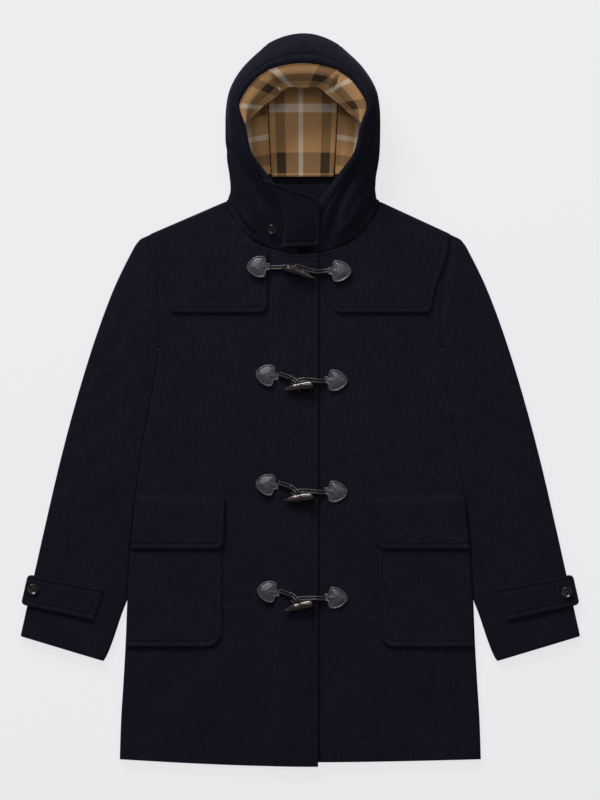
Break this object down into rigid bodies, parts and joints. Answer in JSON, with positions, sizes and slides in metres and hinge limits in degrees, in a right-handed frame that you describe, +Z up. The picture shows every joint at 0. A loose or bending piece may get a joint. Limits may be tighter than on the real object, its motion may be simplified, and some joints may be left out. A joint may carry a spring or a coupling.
{
  "type": "duffle coat",
  "caption": "Mid-length hooded duffle coat laid flat on its back, its hood propped open, with horn toggles, cord loops, leather patches, patch pockets and yokes.",
  "frame": {"origin": "centre of the coat's outline on the surface it lies on", "axes": "+Z up from the surface, +Y toward the hood, +X toward the wearer's left side"},
  "size_m": [0.896, 1.173, 0.0871],
  "materials": {
    "melton": "dark navy wool melton, brushed and milled, matt with a soft nap",
    "lining": "brushed wool lining in a camel, brown and cream check",
    "leather": "smooth black-grey calf leather and waxed cord, semi-gloss",
    "horn": "polished dark brown horn",
    "button": "polished near-black four-hole buttons"
  },
  "bodies": {
    "root": {"right_front": "melton", "left_front": "melton", "back_panel": "melton", "right_sleeve": "melton", "left_sleeve": "melton", "hood_right_side": "melton", "hood_left_side": "melton", "hood_centre": "melton", "hood_lining_right": "lining", "hood_lining_left": "lining", "hood_lining_centre": "lining", "hood_lining_fold": "lining", "inner_neck_band": "melton", "throat_tab": "melton", "right_yoke": "melton", "left_yoke": "melton", "right_pocket": "melton", "right_pocket_flap": "melton", "left_pocket": "melton", "left_pocket_flap": "melton", "right_cuff_tab": "melton", "right_cuff_button": "button", "left_cuff_tab": "melton", "left_cuff_button": "button", "throat_button": "button", "fastening_1_right_patch": "leather", "fastening_1_left_patch": "leather", "fastening_1_toggle_cord": "leather", "fastening_1_loop_cord": "leather", "fastening_1_toggle": "horn", "fastening_2_right_patch": "leather", "fastening_2_left_patch": "leather", "fastening_2_toggle_cord": "leather", "fastening_2_loop_cord": "leather", "fastening_2_toggle": "horn", "fastening_3_right_patch": "leather", "fastening_3_left_patch": "leather", "fastening_3_toggle_cord": "leather", "fastening_3_loop_cord": "leather", "fastening_3_toggle": "horn", "fastening_4_right_patch": "leather", "fastening_4_left_patch": "leather", "fastening_4_toggle_cord": "leather", "fastening_4_loop_cord": "leather", "fastening_4_toggle": "horn"}
  },
  "joints": []
}
